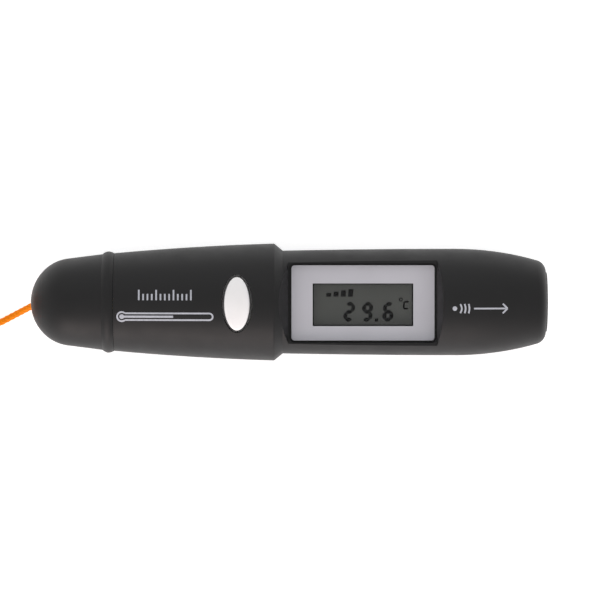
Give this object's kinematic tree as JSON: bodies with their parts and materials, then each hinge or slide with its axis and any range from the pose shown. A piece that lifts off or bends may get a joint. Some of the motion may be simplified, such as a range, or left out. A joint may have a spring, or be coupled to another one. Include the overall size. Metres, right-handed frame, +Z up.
{
  "type": "infrared thermometer",
  "caption": "Pen-type infrared thermometer: charcoal barrel with a silver-bordered display, white oval measure button, round sensor nose, pull-off battery cap and orange cord.",
  "frame": {"origin": "middle of the instrument's footprint, on the surface that it lies on", "axes": "+X along the instrument towards its sensor nose, +Z up through the display"},
  "size_m": [0.1134, 0.0186, 0.0171],
  "materials": {
    "charcoal_plastic": "satin moulded",
    "white_plastic": "semi-gloss moulded",
    "black_plastic": "matt moulded",
    "clear_acrylic": "polished",
    "silver_print": "satin silver ink",
    "adhesive": "matt",
    "lcd_glass": "polished",
    "polariser_film": "olive grey film",
    "reflector_film": "brushed film",
    "elastomer": "matt",
    "circuit_board": "green solder mask",
    "epoxy": "glossy epoxy",
    "chip_body": "matt",
    "ceramic": "matt ceramic",
    "nickel": "nickel plated",
    "gold_plate": "gold plated",
    "spring_steel": "plain",
    "zinc": "die cast",
    "silicon": "coated silicon",
    "label_film": "blank silver film",
    "steel_screw": "black zinc",
    "orange_cord": "braided nylon",
    "tie_plastic": "matt"
  },
  "bodies": {
    "housing": {"upper_shell": "charcoal_plastic", "lower_shell": "charcoal_plastic", "rear_label": "label_film", "case_screws": "steel_screw", "window_lens": "clear_acrylic", "window_border": "silver_print", "window_tape": "adhesive", "lcd_frame": "black_plastic", "lcd_glass_front": "lcd_glass", "lcd_glass_rear": "lcd_glass", "lcd_polariser": "polariser_film", "lcd_reflector": "reflector_film", "zebra_strips": "elastomer", "main_board": "circuit_board", "controller_blob": "epoxy", "amplifier_chip": "chip_body", "chip_resistors": "ceramic", "chip_capacitors": "ceramic", "crystal": "nickel", "switch_body": "black_plastic", "switch_dome": "spring_steel", "switch_terminals": "nickel", "battery_barrel": "black_plastic", "battery_cell_1": "nickel", "battery_cell_2": "nickel", "positive_contact": "gold_plate", "side_contact": "gold_plate", "nose_ring": "charcoal_plastic", "sensor_can": "nickel", "sensor_filter": "silicon", "sensor_header": "gold_plate", "sensor_leads": "gold_plate", "sensor_sleeve": "zinc"},
    "button": {"button_cap": "white_plastic"},
    "plunger": {"switch_plunger": "white_plastic"},
    "cap": {"tail_cap": "charcoal_plastic", "cap_contact": "gold_plate", "battery_spring": "spring_steel", "cord_stopper_knot": "orange_cord", "lanyard_cord": "orange_cord", "lanyard_hank": "orange_cord", "hank_tie": "tie_plastic", "cord_end_knot": "orange_cord"}
  },
  "joints": [
    {"name": "button_press", "type": "slide", "parent": "housing", "child": "button", "axis": [0, 0, -1], "range_m": [0, 0.0003], "stiffness_N_per_m": 4000, "springref_m": -0.0001},
    {"name": "plunger_press", "type": "slide", "parent": "housing", "child": "plunger", "axis": [0, 0, -1], "range_m": [0, 0.0003]},
    {"name": "cap_pull", "type": "slide", "parent": "housing", "child": "cap", "axis": [-1, 0, 0], "range_m": [0, 0.012]}
  ],
  "couplings": [
    {"joint": "plunger_press", "follows": "button_press", "ratio": 1}
  ]
}
